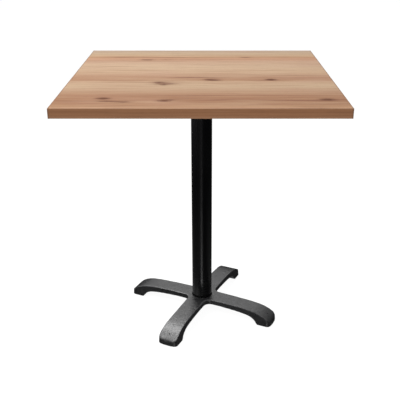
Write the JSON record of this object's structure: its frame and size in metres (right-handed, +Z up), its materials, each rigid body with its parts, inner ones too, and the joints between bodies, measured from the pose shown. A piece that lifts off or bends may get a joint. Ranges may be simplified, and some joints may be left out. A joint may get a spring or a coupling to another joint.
{
  "type": "bistro table",
  "caption": "Square pedestal table with a wood-look laminated top on a round black steel column and a cast foot with arched legs and screw-adjustable glides.",
  "frame": {"origin": "on the floor, on the column's axis, under the middle of the top", "axes": "+Z up along the column; X along the front edge of the top, to the right seen from the front; +Y to the back"},
  "size_m": [0.7, 0.7, 0.74],
  "materials": {
    "oak_laminate": "matt laminate printed with rustic oak: planks, knots and pinkish brown streaks along X",
    "edge_band": "darker wood-look edge band, satin",
    "backing_laminate": "plain dark balancing laminate, matt",
    "chipboard": "raw chipboard",
    "column_coat": "black powder coat, semi-gloss, smooth",
    "cast_coat": "black powder coat over cast iron, semi-gloss with a faint pebble",
    "zinc": "bright zinc plate",
    "nylon": "black moulded nylon"
  },
  "bodies": {
    "root": {"chipboard_core": "chipboard", "top_laminate": "oak_laminate", "backing_laminate": "backing_laminate", "edge_band_front": "edge_band", "edge_band_back": "edge_band", "edge_band_left": "edge_band", "edge_band_right": "edge_band", "top_spider": "cast_coat", "wood_screw_1": "zinc", "wood_screw_2": "zinc", "wood_screw_3": "zinc", "wood_screw_4": "zinc", "wood_screw_5": "zinc", "wood_screw_6": "zinc", "wood_screw_7": "zinc", "wood_screw_8": "zinc", "column_tube": "column_coat", "tie_rod": "zinc", "upper_washer": "zinc", "upper_nut": "zinc", "lower_washer": "zinc", "lower_nut": "zinc", "base_casting": "cast_coat"},
    "pad_back": {"glide_pad_back": "nylon"},
    "stud_back": {"glide_stud_back": "zinc"},
    "pad_left": {"glide_pad_left": "nylon"},
    "stud_left": {"glide_stud_left": "zinc"},
    "pad_front": {"glide_pad_front": "nylon"},
    "stud_front": {"glide_stud_front": "zinc"},
    "pad_right": {"glide_pad_right": "nylon"},
    "stud_right": {"glide_stud_right": "zinc"}
  },
  "joints": [
    {"name": "glide_travel_back", "type": "slide", "parent": "root", "child": "pad_back", "axis": [0, 0, 1], "range_m": [-0.01, 0]},
    {"name": "glide_turn_back", "type": "hinge", "parent": "pad_back", "child": "stud_back", "pos_m": [0.09171, 0.19667, 0.01], "axis": [0, 0, 1], "range_deg": [-2880, 0]},
    {"name": "glide_travel_left", "type": "slide", "parent": "root", "child": "pad_left", "axis": [0, 0, 1], "range_m": [-0.01, 0]},
    {"name": "glide_turn_left", "type": "hinge", "parent": "pad_left", "child": "stud_left", "pos_m": [-0.19667, 0.09171, 0.01], "axis": [0, 0, 1], "range_deg": [-2880, 0]},
    {"name": "glide_travel_front", "type": "slide", "parent": "root", "child": "pad_front", "axis": [0, 0, 1], "range_m": [-0.01, 0]},
    {"name": "glide_turn_front", "type": "hinge", "parent": "pad_front", "child": "stud_front", "pos_m": [-0.09171, -0.19667, 0.01], "axis": [0, 0, 1], "range_deg": [-2880, 0]},
    {"name": "glide_travel_right", "type": "slide", "parent": "root", "child": "pad_right", "axis": [0, 0, 1], "range_m": [-0.01, 0]},
    {"name": "glide_turn_right", "type": "hinge", "parent": "pad_right", "child": "stud_right", "pos_m": [0.19667, -0.09171, 0.01], "axis": [0, 0, 1], "range_deg": [-2880, 0]}
  ],
  "couplings": [
    {"joint": "glide_turn_back", "follows": "glide_travel_back", "rad_per_m": 5026.5},
    {"joint": "glide_turn_left", "follows": "glide_travel_left", "rad_per_m": 5026.5},
    {"joint": "glide_turn_front", "follows": "glide_travel_front", "rad_per_m": 5026.5},
    {"joint": "glide_turn_right", "follows": "glide_travel_right", "rad_per_m": 5026.5}
  ]
}
